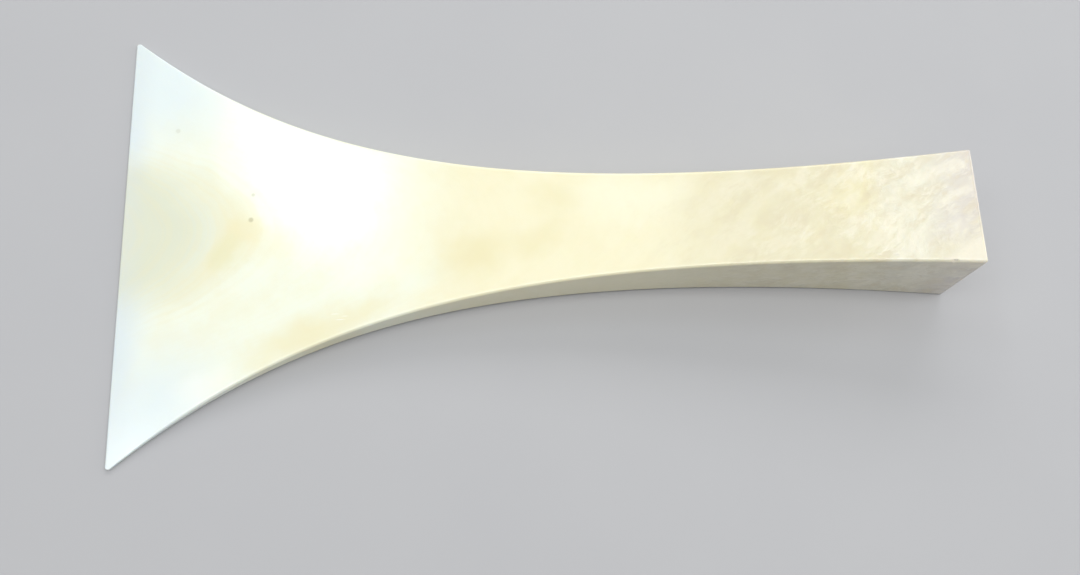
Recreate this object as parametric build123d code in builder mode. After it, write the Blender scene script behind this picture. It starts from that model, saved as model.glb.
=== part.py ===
from build123d import *
import os
from math import atan2, cos, radians, sin, tan

# A one-piece shamisen plectrum, carved from a single block. Millimetres.
#
# It lies on one of its two broad faces. The blade's thin playing edge is at -X, the square butt of the
# handle is at +X, and the XZ plane is its plane of symmetry. The origin is on the surface it lies on,
# under the middle of its bounding box.

# The outline: its widths at every fifth of the length, and the angles at which it leaves its two ends
LENGTH = 200.0
EDGE_WIDTH = 107.0
FLARE_WIDTH = 57.7
SHOULDER_WIDTH = 33.7
WAIST_WIDTH = 24.7
GRIP_WIDTH = 23.9
BUTT_WIDTH = 28.0
EDGE_ANGLE = 39.3
BUTT_ANGLE = 4.2
CORNER_RADIUS = 0.75

# The thickness: each broad face is flat from the butt to FLAT_START, then one shallow arc to the playing edge
BUTT_THICKNESS = 27.3
FACE_ANGLE = 4.28
FLAT_START = 90.0
PLAYING_EDGE_THICKNESS = 0.8

# Rounding of the edges
BUTT_EDGE_RADIUS = 0.5
LONG_EDGE_RADIUS = 0.3

# Worked out from those
station_step = LENGTH / 5
butt_height = BUTT_THICKNESS / 2
edge_height = PLAYING_EDGE_THICKNESS / 2
flat_start_height = butt_height - (LENGTH - FLAT_START) * tan(radians(FACE_ANGLE))

# The plectrum lies on its playing edge and on the lower edge of its butt, so its mid-plane climbs to the butt
lie_angle = atan2(butt_height - edge_height, LENGTH)
overall_length = LENGTH * cos(lie_angle) + (butt_height + edge_height) * sin(lie_angle)
edge_x = edge_height * sin(lie_angle) - overall_length / 2
edge_z = edge_height * cos(lie_angle)

# Both sketch planes start at the middle of the playing edge, with x running along the mid-plane to the butt
along = (cos(lie_angle), 0, sin(lie_angle))
through = (-sin(lie_angle), 0, cos(lie_angle))
mid_plane = Plane(origin=(edge_x, 0, edge_z), x_dir=along, z_dir=through)
side_plane = Plane(origin=(edge_x, 0, edge_z), x_dir=along, z_dir=(0, -1, 0))

os.makedirs("parts", exist_ok=True)

with BuildPart() as plectrum:
    # Seen square to the mid-plane: a flared blade, a waist and a handle that swells towards the butt
    with BuildSketch(mid_plane) as outline:
        with BuildLine():
            Spline(
                (0, EDGE_WIDTH / 2),
                (station_step, FLARE_WIDTH / 2),
                (station_step * 2, SHOULDER_WIDTH / 2),
                (station_step * 3, WAIST_WIDTH / 2),
                (station_step * 4, GRIP_WIDTH / 2),
                (LENGTH, BUTT_WIDTH / 2),
                tangents=[
                    (cos(radians(EDGE_ANGLE)), -sin(radians(EDGE_ANGLE))),
                    (cos(radians(BUTT_ANGLE)), sin(radians(BUTT_ANGLE))),
                ],
            )
            Line((LENGTH, BUTT_WIDTH / 2), (LENGTH, 0))
            Line((0, 0), (0, EDGE_WIDTH / 2))
            mirror(about=Plane.XZ)
        make_face()
        fillet(outline.vertices().group_by(Axis.X)[0], radius=CORNER_RADIUS)
    extrude(amount=BUTT_THICKNESS, both=True)

    # Seen from the side: a long wedge from the thick butt to the thin playing edge
    with BuildSketch(side_plane):
        with BuildLine():
            flat = Line((LENGTH, butt_height), (FLAT_START, flat_start_height))
            TangentArc(flat @ 1, (0, edge_height), tangent=flat % 1)
            Line((0, edge_height), (0, 0))
            Line((LENGTH, 0), (LENGTH, butt_height))
            mirror(about=Plane.XZ)
        make_face()
    extrude(amount=EDGE_WIDTH, both=True, mode=Mode.INTERSECT)

    # The long edges and the playing edge are barely rounded, the rim of the butt a little more
    long_edges = plectrum.edges().filter_by(GeomType.LINE, reverse=True)
    playing_edges = plectrum.edges().filter_by(Axis.Y).sort_by(Axis.X)[0:2]
    fillet(long_edges + playing_edges, radius=LONG_EDGE_RADIUS)
    butt_face = plectrum.faces().sort_by(Axis.X)[-1]
    fillet(butt_face.edges(), radius=BUTT_EDGE_RADIUS)

plectrum.part.label = "plectrum"
export_step(plectrum.part, "parts/plectrum.step")
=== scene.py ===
"""The looks of a one-piece shamisen plectrum lying on a pale floor. Metres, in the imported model's frame."""

from math import atan2, cos, pi, radians, sin, tan

import bmesh
import bpy
import numpy as np
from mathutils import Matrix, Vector, noise


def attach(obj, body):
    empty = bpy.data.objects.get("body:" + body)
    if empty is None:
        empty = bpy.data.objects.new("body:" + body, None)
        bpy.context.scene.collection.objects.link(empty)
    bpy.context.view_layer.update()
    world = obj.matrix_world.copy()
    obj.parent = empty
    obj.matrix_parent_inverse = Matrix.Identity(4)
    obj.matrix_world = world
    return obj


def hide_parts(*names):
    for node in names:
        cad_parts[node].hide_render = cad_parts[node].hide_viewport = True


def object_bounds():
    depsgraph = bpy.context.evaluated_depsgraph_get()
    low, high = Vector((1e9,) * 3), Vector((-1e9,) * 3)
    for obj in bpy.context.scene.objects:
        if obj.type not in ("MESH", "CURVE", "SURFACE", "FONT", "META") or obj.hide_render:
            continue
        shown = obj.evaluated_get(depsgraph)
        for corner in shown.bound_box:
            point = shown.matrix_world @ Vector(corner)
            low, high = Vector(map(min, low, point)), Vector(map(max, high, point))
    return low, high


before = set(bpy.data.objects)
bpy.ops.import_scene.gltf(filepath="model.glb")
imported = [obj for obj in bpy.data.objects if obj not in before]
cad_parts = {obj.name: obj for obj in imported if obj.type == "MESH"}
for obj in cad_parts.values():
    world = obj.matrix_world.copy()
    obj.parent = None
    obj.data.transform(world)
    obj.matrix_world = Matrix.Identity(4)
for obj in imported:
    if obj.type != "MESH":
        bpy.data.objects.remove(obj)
cad_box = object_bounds()

MM = 0.001

# The plectrum's own sizes, measured along its mid-plane from the playing edge (x = 0) to the butt
LENGTH = 200 * MM
WIDTHS = np.array([107, 57.7, 33.7, 24.7, 23.9, 28]) * MM
EDGE_SLOPE = -tan(radians(39.3))
BUTT_SLOPE = tan(radians(4.2))
BUTT_HEIGHT = 13.65 * MM
FACE_SLOPE = tan(radians(4.28))
FLAT_START = 90 * MM
EDGE_HEIGHT = 0.4 * MM

# The blade's two corners are blunted by an arc, its middle this far from the axis, that ends on the outline
CORNER_RADIUS = 0.75 * MM
CORNER_Y = 51.925 * MM
CORNER_END = 1.22 * MM

# It lies on its playing edge and on its butt, so its mid-plane climbs to the butt by this angle
LIE_ANGLE = atan2(BUTT_HEIGHT - EDGE_HEIGHT, LENGTH)

# Rounding of the edges: the long ones are rounder where the block is thick
LONG_RADIUS = 0.7 * MM
LONG_RADIUS_SHARE = 0.6
RIM_RADIUS = 0.5 * MM

# A chip in the near upper edge, beside the butt, pressed in and down
CHIP_X = 192.8 * MM
CHIP_RADIUS = 0.8 * MM
CHIP_DEPTH = 0.35 * MM
CHIP_PUSH = Vector((0, 0.5, -0.85))
CHIP_GRAIN = 0.5 * MM
CHIP_RAGGEDNESS = 0.5

# How far the hand-polished faces stray from true. The waves fade out towards the playing edge
WAVE_DEPTH = 0.035 * MM
WAVE_LENGTH = 28 * MM
WAVE_FADE = 20 * MM

# Where the middle of the playing edge is in the frame, with room under the lower face for its waves
FLOOR_GAP = 0.03 * MM
START_X = cad_box[0][0] + EDGE_HEIGHT * sin(LIE_ANGLE)
START_Z = EDGE_HEIGHT * cos(LIE_ANGLE) + FLOOR_GAP


def tone(red, green, blue):
    """A colour given as eight-bit display values, in the linear form that shaders take."""
    shares = [value / 255 for value in (red, green, blue)]
    return tuple(v / 12.92 if v <= 0.04045 else ((v + 0.055) / 1.055) ** 2.4 for v in shares) + (1.0,)


# ---------------------------------------------------------------- shape


def smooth_curve(step, values, first_slope, last_slope):
    """A cubic spline through evenly spaced values, leaving its ends at the given slopes."""
    count = len(values)
    matrix = np.eye(count)
    right = np.array([first_slope] + [0.0] * (count - 2) + [last_slope])
    for i in range(1, count - 1):
        matrix[i, i - 1 : i + 2] = 1, 4, 1
        right[i] = 3 * (values[i + 1] - values[i - 1]) / step
    slopes = np.linalg.solve(matrix, right)

    def curve(x):
        i = min(max(int(x / step), 0), count - 2)
        t = x / step - i
        rise = values[i + 1] - values[i]
        bend = step * (slopes[i] * (1 - t) - slopes[i + 1] * t) - rise * (1 - 2 * t)
        return values[i] + t * rise + t * (1 - t) * bend

    return curve


outline = smooth_curve(LENGTH / 5, WIDTHS / 2, EDGE_SLOPE, BUTT_SLOPE)


def half_width(x):
    """From the middle to the side wall. The blade's two corners are blunted by a small arc."""
    if x < CORNER_END:
        return CORNER_Y + (CORNER_RADIUS**2 - (CORNER_RADIUS - x) ** 2) ** 0.5
    return outline(x)


def half_height(x):
    """From the mid-plane to a broad face: flat near the butt, then a shallow hollow to the playing edge."""
    flat = BUTT_HEIGHT - (LENGTH - x) * FACE_SLOPE
    if x >= FLAT_START:
        return flat
    lift = EDGE_HEIGHT - (BUTT_HEIGHT - LENGTH * FACE_SLOPE)
    return flat + lift * (1 - x / FLAT_START) ** 2


# The mesh's rings between the round nose and the butt's rim: where each stretch of them starts and ends, and
# how many there are. They stand close together at the blade's corners and at the chip
CHIP_START = CHIP_X - 1.5 * CHIP_RADIUS
CHIP_END = CHIP_X + 1.5 * CHIP_RADIUS
STRETCHES = [
    (0.5 * MM, 1.5 * MM, 11),
    (1.8 * MM, 12 * MM, 14),
    (13.3 * MM, CHIP_START - 1 * MM, 138),
    (CHIP_START, CHIP_END, 21),
    (CHIP_END + 1 * MM, LENGTH - RIM_RADIUS - 0.1 * MM, 5),
]

# How many evenly spaced points a ring has across and up, and how many more stand near the ends of each run
WIDE_RUN = 56
TALL_RUN = 14
END_POINTS = 4

# How many steps make up a rounded corner of a ring, the nose and the rim
ARC_STEPS = 8

# Points closer than this are merged, and shorter edges are dissolved
MERGE_DISTANCE = 0.002 * MM
SHORTEST_EDGE = 0.001 * MM


def ring_places():
    """(x, inset) of every ring of the mesh. Only the rings of the butt's rim are inset."""
    turns = np.linspace(0, pi / 2, ARC_STEPS + 1)
    nose = [(EDGE_HEIGHT * (1 - cos(turn)), 0.0) for turn in turns]
    middle = [(x, 0.0) for start, end, count in STRETCHES for x in np.linspace(start, end, count)]
    rim = [(LENGTH - RIM_RADIUS * (1 - sin(turn)), RIM_RADIUS * (1 - cos(turn))) for turn in turns]
    return nose + middle + rim


def run_points(half, count):
    """Points from -half to half. Each end has a second and a third point close by, to keep the face flat."""
    second = half - min(0.12 * MM, half / 12)
    third = half - min(0.6 * MM, half / 4)
    return [-half, -second] + list(np.linspace(-third, third, count)) + [second, half]


def section(x, inset):
    """The closed ring of (y, z) points at x, anticlockwise from the upper left as seen from the butt."""
    height = half_height(x) - inset
    if x < EDGE_HEIGHT:
        height *= (1 - (1 - x / EDGE_HEIGHT) ** 2) ** 0.5
    width = half_width(x) - inset
    radius = min(max(LONG_RADIUS - inset, 0), height * LONG_RADIUS_SHARE)
    flat_y, flat_z = width - radius, height - radius
    across = run_points(flat_y, WIDE_RUN)
    tall = run_points(flat_z, TALL_RUN)
    arc = [(radius * sin(t), radius * cos(t)) for t in np.linspace(0, pi / 2, ARC_STEPS + 1)[1:-1]]
    points = [(y, height) for y in across]
    points += [(flat_y + a, flat_z + b) for a, b in arc]
    points += [(width, z) for z in reversed(tall)]
    points += [(flat_y + a, -flat_z - b) for a, b in reversed(arc)]
    points += [(y, -height) for y in reversed(across)]
    points += [(-flat_y - a, -flat_z - b) for a, b in arc]
    points += [(-width, z) for z in tall]
    points += [(-flat_y - a, flat_z + b) for a, b in reversed(arc)]
    return points


def butt_cap(mesh, ring):
    """Closes the butt: a grid of faces inside its last ring, and one more face in each rounded corner."""
    wide = WIDE_RUN + END_POINTS
    tall = TALL_RUN + END_POINTS
    arc = ARC_STEPS - 1
    top = ring[:wide]
    right = ring[wide + arc :][:tall]
    low = ring[wide + tall + 2 * arc :][:wide]
    left = ring[2 * wide + tall + 3 * arc :][:tall]
    rows = [top]
    for j in range(1, tall - 1):
        a, b = left[tall - 1 - j], right[j]
        inner = [mesh.verts.new((a.co.x, top[i].co.y, a.co.z)) for i in range(1, wide - 1)]
        rows.append([a] + inner + [b])
    rows.append(list(reversed(low)))
    for upper, lower in zip(rows, rows[1:]):
        for i in range(wide - 1):
            mesh.faces.new((upper[i], lower[i], lower[i + 1], upper[i + 1]))
    corners = [edge for edge in mesh.edges if edge.is_boundary and all(v.co.x >= LENGTH for v in edge.verts)]
    bmesh.ops.holes_fill(mesh, edges=corners, sides=0)


def chip_push(point):
    """How far a point near the chip is pressed in, as a share of the chip's depth."""
    edge = Vector((CHIP_X, -half_width(CHIP_X), half_height(CHIP_X)))
    away = point - edge
    ragged = 1 + CHIP_RAGGEDNESS * noise.noise(point / CHIP_GRAIN)
    distance = Vector((away.x, away.y * 1.3, away.z * 0.9)).length / (CHIP_RADIUS * ragged)
    return max(0.0, 1 - distance**2)


def polish(mesh):
    """Adds what handwork and use leave: faces a hair off true, and one chipped edge."""
    mesh.normal_update()
    moves = []
    for vert in mesh.verts:
        wave = noise.noise(vert.co / WAVE_LENGTH) * WAVE_DEPTH
        fade = min(1.0, vert.co.x / WAVE_FADE)
        moves.append(vert.normal * wave * fade + CHIP_PUSH * chip_push(vert.co) * CHIP_DEPTH)
    for vert, move in zip(mesh.verts, moves):
        vert.co += move


def lie_down(mesh):
    """Turns the mesh from the mid-plane's axes to the frame's: it lies on its playing edge and its butt."""
    slide, rise = cos(LIE_ANGLE), sin(LIE_ANGLE)
    for vert in mesh.verts:
        x, y, z = vert.co
        vert.co = (START_X + x * slide - z * rise, y, START_Z + x * rise + z * slide)


def make_plectrum():
    """The whole plectrum as one closed mesh: a ring of points at every place, joined by faces."""
    mesh = bmesh.new()
    rings = []
    for x, inset in ring_places():
        rings.append([mesh.verts.new((x, y, z)) for y, z in section(x, inset)])
    for back, front in zip(rings, rings[1:]):
        for i in range(len(back)):
            j = (i + 1) % len(back)
            mesh.faces.new((back[i], back[j], front[j], front[i]))
    butt_cap(mesh, rings[-1])
    bmesh.ops.remove_doubles(mesh, verts=mesh.verts, dist=MERGE_DISTANCE)
    bmesh.ops.dissolve_degenerate(mesh, edges=mesh.edges, dist=SHORTEST_EDGE)
    bmesh.ops.recalc_face_normals(mesh, faces=mesh.faces)
    polish(mesh)
    lie_down(mesh)
    for face in mesh.faces:
        face.smooth = True
    data = bpy.data.meshes.new("ivory_plectrum")
    mesh.to_mesh(data)
    mesh.free()
    piece = bpy.data.objects.new("ivory_plectrum", data)
    bpy.context.scene.collection.objects.link(piece)
    weigh = piece.modifiers.new("even_shading", "WEIGHTED_NORMAL")
    weigh.weight = 60
    return piece


# ---------------------------------------------------------------- ivory


class Shader:
    """A short way to write a node tree: every call adds a node and returns its output."""

    def __init__(self, name):
        self.material = bpy.data.materials.new(name)
        self.material.use_nodes = True
        self.tree = self.material.node_tree
        self.tree.nodes.clear()

    def add(self, kind, inputs, output=0, **settings):
        made = self.tree.nodes.new(kind)
        for name, value in settings.items():
            setattr(made, name, value)
        for name, value in inputs.items():
            if isinstance(value, bpy.types.NodeSocket):
                self.tree.links.new(value, made.inputs[name])
            else:
                made.inputs[name].default_value = value
        return made.outputs[output]

    def math(self, operation, a, b=0.0):
        return self.add("ShaderNodeMath", {0: a, 1: b}, operation=operation)

    def share(self, value, size):
        return self.math("MULTIPLY", value, size)

    def vector(self, operation, a, b=(0, 0, 0), output=0):
        return self.add("ShaderNodeVectorMath", {0: a, 1: b}, output, operation=operation)

    def split(self, place):
        apart = self.add("ShaderNodeSeparateXYZ", {0: place}).node
        return [apart.outputs[i] for i in range(3)]

    def turned(self, place, axis, angle):
        return self.add("ShaderNodeVectorRotate", {"Vector": place, "Angle": angle}, rotation_type=axis)

    def noise(self, place, size, detail, roughness, output=0):
        """Cloudy noise whose patches are about this size."""
        inputs = {"Vector": place, "Scale": 1 / size, "Detail": detail, "Roughness": roughness}
        return self.add("ShaderNodeTexNoise", inputs, output)

    def ramp(self, value, low, high):
        """0 below low, 1 above high and smooth between. It falls instead if low is above high."""
        inputs = {"Value": value, "From Min": low, "From Max": high}
        return self.add("ShaderNodeMapRange", inputs, interpolation_type="SMOOTHSTEP")

    def mix(self, share, a, b):
        return self.add("ShaderNodeMix", {0: share, 6: a, 7: b}, 2, data_type="RGBA")

    def finished(self, surface):
        """Ends the tree in a Principled BSDF with these inputs, and returns the material."""
        principled = self.add("ShaderNodeBsdfPrincipled", surface)
        out = self.tree.nodes.new("ShaderNodeOutputMaterial")
        self.tree.links.new(principled, out.inputs["Surface"])
        return self.material


CREAM = tone(235, 230, 200)
LIGHT = tone(237, 235, 211)
BUFF = tone(221, 215, 186)
PALE = tone(232, 235, 218)
HONEY = tone(227, 219, 178)
OLIVE = tone(221, 218, 178)
CORE = tone(211, 214, 193)
MILK = tone(217, 228, 231)
WHITE = tone(248, 246, 230)
CHALK = tone(219, 216, 199)
MAUVE = tone(199, 190, 188)
EDGE_TINT = tone(205, 213, 215)
# Painted highlight and painted shade: lighter on the handle's ripple crests, darker in their hollows
RIPPLE_HIGHLIGHT = tone(234, 229, 210)
RIPPLE_SHADE = tone(212, 201, 172)
# Painted reflection on the butt's near upper corner
CORNER_REFLECTION = tone(229, 223, 203)
SPECK = tone(140, 134, 84)
SCRATCH = tone(244, 244, 236)

# All places in the block are in millimetres from the middle of the playing edge: x along the mid-plane to the
# butt, y across the blade, z out of the mid-plane

# The colours that follow the blade's pale one. Each covers the one before: the colour, where it starts, where
# it is full, and how strongly it shows
ZONES = [
    (CREAM, 52, 88, 1.0),
    (BUFF, 116, 152, 1.0),
    (CHALK, 174, 182, 0.8),
    (MAUVE, 186, 200, 0.75),
]

# Clouds of colour in the block: their middle and radii, how many degrees they are turned towards +Y, their
# colour, and how strongly it shows. Two of them are painted highlight
CLOUDS = [
    ((29.5, 1.5, 0), (6, 6, 12), -15, HONEY, 0.6),
    ((26.5, -4, 0), (5, 6, 12), -30, OLIVE, 0.55),
    ((35, -1, 0), (10, 9, 12), 0, HONEY, 0.25),
    ((48, -21, 0), (22, 6.5, 12), 20, HONEY, 0.65),
    ((36, -26, 0), (11, 5, 12), 25, HONEY, 0.25),
    ((19, -36, 0), (12, 6, 12), 35, WHITE, 0.8),
    # The next two are painted highlight: the pale haze and the white tail below the window's reflection on
    # the blade
    ((71, -11, 0), (9, 6, 12), 20, PALE, 0.8),
    ((60, -8, 0), (11, 5, 12), 15, WHITE, 0.4),
    ((81.5, -7, 4), (14, 8.5, 12), 20, HONEY, 0.8),
    ((97, -3, 4), (10, 6, 12), 40, HONEY, 0.55),
    ((101, 7, 4), (11, 6, 12), -10, HONEY, 0.5),
    ((119, 5, 8), (20, 8.5, 9), -4, LIGHT, 0.6),
    ((172, 5, 10), (11, 8, 9), 70, HONEY, 0.6),
    ((150, -3, -9), (20, 8, 8), 10, HONEY, 0.5),
    ((105, 4, -6), (16, 8, 6), -15, LIGHT, 0.8),
    ((187, 2, -12), (12, 9, 8), 30, PALE, 0.5),
]

# Small olive specks: place, radius, and how strongly each shows
SPECKS = [
    ((11.7, 28.6, 0.9), 0.8, 0.16),
    ((30.6, 11.2, 1.7), 0.6, 0.3),
    ((30.3, 4.9, 1.7), 0.8, 0.42),
    ((61.0, 6.0, -3.5), 0.7, 0.3),
    ((113.0, -4.0, -7.1), 0.6, 0.35),
]

# Short scratches that run with the length: place and half length
SCRATCHES = [
    ((50.6, -19.0, 2.8), 1.3),
    ((52.9, -19.6, 2.9), 1.0),
    ((51.8, -20.4, 2.9), 1.5),
]


class Place:
    """Where a shaded point is in the block, as sockets of a shader."""

    def __init__(self, shader):
        self.shader = shader
        in_frame = shader.add("ShaderNodeTexCoord", {}, 3)
        level = shader.turned(shader.vector("SUBTRACT", in_frame, (START_X, 0, START_Z)), "Y_AXIS", LIE_ANGLE)
        self.here = shader.vector("MULTIPLY", level, (1 / MM,) * 3)
        self.x, self.y, self.z = shader.split(self.here)
        self.off_axis = shader.math("ABSOLUTE", self.y)
        cloudy = shader.noise(self.here, 16, 4, 0.5, output=1)
        self.drift = shader.vector("SUBTRACT", cloudy, (0.5, 0.5, 0.5))

    def strayed(self, reach):
        """The place, led astray by cloudy noise, by up to about half of reach."""
        return self.shader.vector("ADD", self.here, self.shader.vector("MULTIPLY", self.drift, (reach,) * 3))


def blob(shader, point, middle, radii, full, turn=0):
    """1 at the middle of an ellipsoid, out to full of its radii, and 0 outside it."""
    offset = shader.turned(shader.vector("SUBTRACT", point, middle), "Z_AXIS", -radians(turn))
    distance = shader.vector("LENGTH", shader.vector("DIVIDE", offset, radii), output=1)
    return shader.ramp(distance, 1.0, full)


# The block's growth layers are paraboloids, open to the playing edge, about an axis this far from y = 0
GROWTH_AXIS = 2.0
GROWTH_SPREAD = 18.0


def growth(shader, point):
    """How far along the axis the growth layer that holds this point has its tip."""
    x, y, z = shader.split(point)
    off_axis = shader.math("SUBTRACT", y, GROWTH_AXIS)
    squares = shader.math("ADD", shader.math("MULTIPLY", off_axis, off_axis), shader.math("MULTIPLY", z, z))
    return shader.math("ADD", x, shader.math("DIVIDE", squares, GROWTH_SPREAD))


def block_colour(shader, place, warped):
    """Pale in the blade, cream at the waist, buff in the handle, chalky at the butt, all faintly mottled."""
    along = shader.split(warped)[0]
    colour = PALE
    for zone_colour, start, full, strength in ZONES:
        colour = shader.mix(shader.share(shader.ramp(along, start, full), strength), colour, zone_colour)
    mottle = shader.ramp(shader.noise(place.here, 9, 5, 0.6), 0.4, 0.68)
    return shader.mix(shader.share(mottle, 0.22), colour, HONEY)


def with_core(shader, place, warped, colour):
    """The blade's greyer core, with a honey-coloured layer round its tip and faint growth lines, which show
    again as rings on the butt's face."""
    tip = growth(shader, warped)
    core = shader.ramp(tip, 38, 10)
    colour = shader.mix(shader.share(core, 0.85), colour, CORE)

    layer = shader.math("MULTIPLY", shader.ramp(tip, 21, 27), shader.ramp(tip, 34, 28))
    near_axis = shader.share(shader.ramp(place.off_axis, 22, 1), 0.55)
    colour = shader.mix(shader.math("MULTIPLY", layer, near_axis), colour, HONEY)

    spacing = {"W": growth(shader, place.strayed(4)), "Scale": 0.42, "Detail": 2.0}
    lines = shader.ramp(shader.add("ShaderNodeTexNoise", spacing, noise_dimensions="1D"), 0.44, 0.6)
    clearer = shader.math("MAXIMUM", shader.ramp(tip, 46, 30), shader.ramp(place.x, 199.2, 199.8))
    strength = shader.math("MAXIMUM", shader.share(clearer, 0.16), 0.04)
    return shader.mix(shader.math("MULTIPLY", lines, strength), colour, HONEY)


def with_clouds(shader, warped, colour):
    for middle, radii, turn, cloud_colour, strength in CLOUDS:
        cloud = blob(shader, warped, middle, radii, 0.2, turn)
        colour = shader.mix(shader.share(cloud, strength), colour, cloud_colour)
    return colour


def with_thin_parts(shader, place, colour):
    """The playing edge beside the core and the tips of the blade let light through, and look milky."""
    off_core = shader.math("ABSOLUTE", shader.math("SUBTRACT", place.y, 4.0))
    beside_core = shader.math("MULTIPLY", shader.ramp(place.x, 13, 0), shader.ramp(off_core, 12, 24))
    tips = shader.math("MULTIPLY", shader.ramp(place.x, 36, 10), shader.ramp(place.off_axis, 15, 40))
    thin = shader.math("MAXIMUM", beside_core, tips)
    colour = shader.mix(shader.share(thin, 0.8), colour, MILK)
    return shader.mix(shader.share(shader.ramp(place.x, 7, 0), 0.35), colour, EDGE_TINT)


def with_ripples(shader, place, colour):
    """Ripples and broader swells that slant across the handle, stronger towards the butt but not on its face.
    Their crests are painted lighter as painted highlight, and their hollows darker as painted shade.
    Returns the colour and their height."""
    turned = shader.turned(place.strayed(6), "Z_AXIS", radians(-35))
    slanting = shader.vector("MULTIPLY", turned, (0.45, 1.0, 0.6))
    on_handle = shader.math("MULTIPLY", shader.ramp(place.x, 98, 192), shader.ramp(place.x, 199.8, 199))
    patchy = shader.math("MULTIPLY", shader.ramp(shader.noise(place.here, 6, 2, 0.5), 0.25, 0.65), on_handle)
    swells = shader.noise(slanting, 4.0, 2, 0.5)
    ripples = shader.noise(slanting, 1.1, 3, 0.6)
    height = 0.0
    for waves, where in ((swells, on_handle), (ripples, patchy)):
        # Painted highlight on the crests and painted shade in the hollows, on top of the real bump
        painted_crest_highlight = shader.math("MULTIPLY", shader.ramp(waves, 0.46, 0.66), where)
        colour = shader.mix(shader.share(painted_crest_highlight, 0.5), colour, RIPPLE_HIGHLIGHT)
        painted_hollow_shade = shader.math("MULTIPLY", shader.ramp(waves, 0.48, 0.34), where)
        colour = shader.mix(shader.share(painted_hollow_shade, 0.4), colour, RIPPLE_SHADE)
        height = shader.math("ADD", height, shader.math("MULTIPLY", waves, where))
    return colour, height


def with_marks(shader, place, colour):
    """A painted reflection on the near upper corner of the butt, with a band of painted shade beside it, and
    the specks and scratches.
    """
    from_corner = shader.vector("SUBTRACT", place.here, (190.3, -12.5, 0))
    outwards = shader.vector("DOT_PRODUCT", from_corner, (0.533, -0.845, 0), output=1)
    upper = shader.ramp(place.z, 7, 12)
    # Painted shade: a buff band beside the corner. Painted reflection: the corner itself, painted paler
    beside = shader.math("MULTIPLY", shader.ramp(outwards, -4.5, -1.0), upper)
    painted_reflection = shader.math("MULTIPLY", shader.ramp(outwards, -0.8, 2.0), upper)
    colour = shader.mix(shader.share(beside, 0.35), colour, BUFF)
    colour = shader.mix(shader.share(painted_reflection, 0.75), colour, CORNER_REFLECTION)
    for middle, radius, strength in SPECKS:
        dot = blob(shader, place.here, middle, (radius,) * 3, 0.4)
        colour = shader.mix(shader.share(dot, strength), colour, SPECK)
    for middle, half_length in SCRATCHES:
        scratch = blob(shader, place.here, middle, (half_length, 0.13, 1), 0.3)
        colour = shader.mix(shader.share(scratch, 0.7), colour, SCRATCH)
    return colour


def ivory():
    shader = Shader("polished_ivory")
    place = Place(shader)
    warped = place.strayed(13)
    colour = block_colour(shader, place, warped)
    colour = with_core(shader, place, warped, colour)
    colour = with_clouds(shader, warped, colour)
    colour = with_thin_parts(shader, place, colour)
    colour, height = with_ripples(shader, place, colour)
    colour = with_marks(shader, place, colour)

    # Handling has left the polish a little uneven
    smears = {"Value": shader.noise(place.here, 20, 4, 0.6), "From Min": 0.3, "From Max": 0.7}
    grain = shader.share(shader.noise(place.here, 0.8, 2, 0.5), 0.06)
    bump = {"Height": shader.math("ADD", height, grain), "Strength": 1.0, "Distance": 0.14 * MM}
    surface = {
        "Base Color": colour,
        "Roughness": shader.add("ShaderNodeMapRange", smears | {"To Min": 0.1, "To Max": 0.17}),
        "Normal": shader.add("ShaderNodeBump", bump),
        "IOR": 1.54,
        "Subsurface Weight": 0.25,
        "Subsurface Radius": (1.0, 0.8, 0.5),
        "Subsurface Scale": 1.5 * MM,
    }
    return shader.finished(surface)


# ---------------------------------------------------------------- stage

FLOOR_SIZE = 60


def make_floor():
    bpy.ops.mesh.primitive_plane_add(size=FLOOR_SIZE)
    floor = bpy.context.object
    floor.name = "floor"
    shader = Shader("pale_floor")
    here = shader.add("ShaderNodeTexCoord", {}, 3)
    mottle = shader.noise(here, 60 * MM, 4, 0.5)
    colour = shader.mix(mottle, tone(170, 170, 172), tone(176, 176, 177))
    # Paler where the lamps don't reach, so that it meets the room's grey without a dark band
    far = shader.ramp(shader.vector("LENGTH", here, output=1), 0.7, 2.6)
    colour = shader.mix(far, colour, tone(240, 240, 241))
    floor.data.materials.append(shader.finished({"Base Color": colour, "Roughness": 0.85}))


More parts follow.
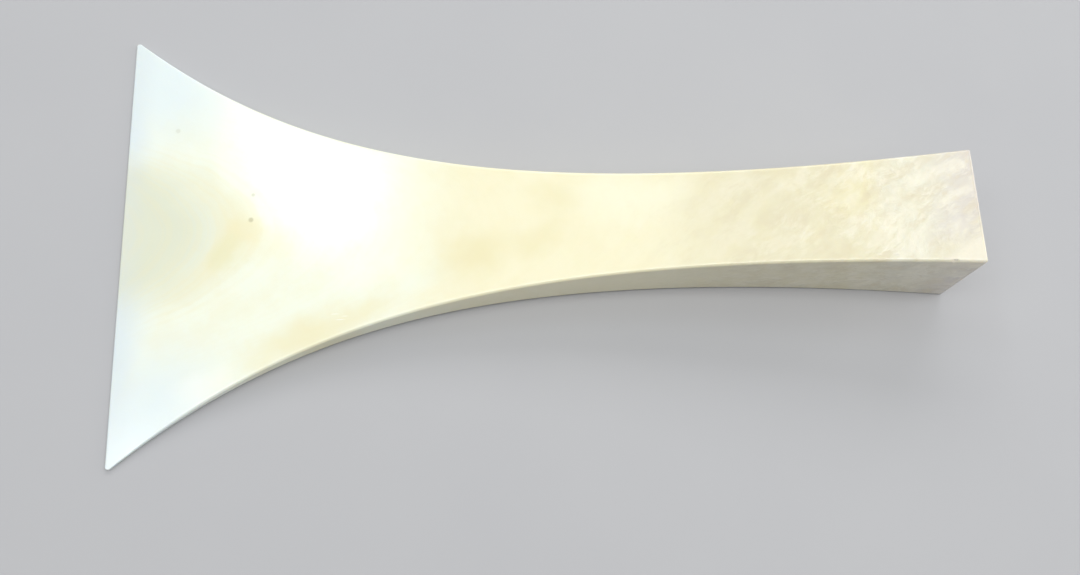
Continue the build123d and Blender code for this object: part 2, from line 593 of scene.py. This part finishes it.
def area_light(name, shape, place, target, size, power, colour=(1, 1, 1), spin=0.0):
    """A soft light at place that shines at target, turned about its own beam by spin."""
    lamp = bpy.data.lights.new(name, "AREA")
    lamp.shape = shape
    lamp.size, lamp.size_y = size
    lamp.energy = power
    lamp.color = colour
    holder = bpy.data.objects.new(name, lamp)
    beam = Vector(target) - Vector(place)
    holder.rotation_euler = beam.to_track_quat("-Z", "Y").to_euler()
    holder.rotation_euler.rotate_axis("Z", radians(spin))
    holder.location = place
    bpy.context.scene.collection.objects.link(holder)


def light_scene():
    """A soft room, with the window that the blade mirrors and wide panels that light every side evenly."""
    world = bpy.data.worlds.new("soft_room")
    world.use_nodes = True
    back = world.node_tree.nodes["Background"]
    back.inputs["Color"].default_value = (0.97, 0.985, 1.0, 1.0)
    back.inputs["Strength"].default_value = 0.32
    bpy.context.scene.world = world
    window_blue, sky_blue = (0.84, 0.93, 1.0), (0.8, 0.92, 1.0)
    area_light("window", "ELLIPSE", (-0.277, 0.3, 0.6), (-0.277, 0.3, 0), (0.103, 0.2), 0.39, window_blue, 16)
    area_light("ceiling", "RECTANGLE", (0.0, -0.05, 1.0), (0, -0.05, 0), (2.0, 0.34), 7.8)
    area_light("front_panel", "RECTANGLE", (0.15, -0.3, 0.95), (0.05, 0, 0), (0.9, 0.4), 1.5)
    area_light("back_panel", "RECTANGLE", (0.1, 1.0, 0.75), (0, 0, 0), (1.2, 0.5), 6.5)
    area_light("skylight", "RECTANGLE", (0.42, 0.3, 0.9), (0.42, 0.3, 0), (0.4, 0.5), 0.7, sky_blue)
    area_light("side_fill", "RECTANGLE", (0.9, 0.15, 0.3), (0.1, 0, 0.02), (0.5, 0.4), 1.8)
    bpy.context.scene.view_settings.view_transform = "Standard"


def make_camera():
    """The photo's own viewpoint, from a fit of the outline to the photo."""
    lens = bpy.data.cameras.new("camera")
    lens.sensor_width = 36
    lens.lens = 35.04
    lens.clip_start = 0.01
    camera = bpy.data.objects.new("camera", lens)
    camera.location = (-0.02832, -0.08225, 0.24388)
    camera.rotation_euler = (radians(16.383), radians(-5.651), radians(-2.167))
    bpy.context.scene.collection.objects.link(camera)
    bpy.context.scene.camera = camera


make_camera()
plectrum = make_plectrum()
plectrum.data.materials.append(ivory())
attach(plectrum, "root")
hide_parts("plectrum")
make_floor()
light_scene()
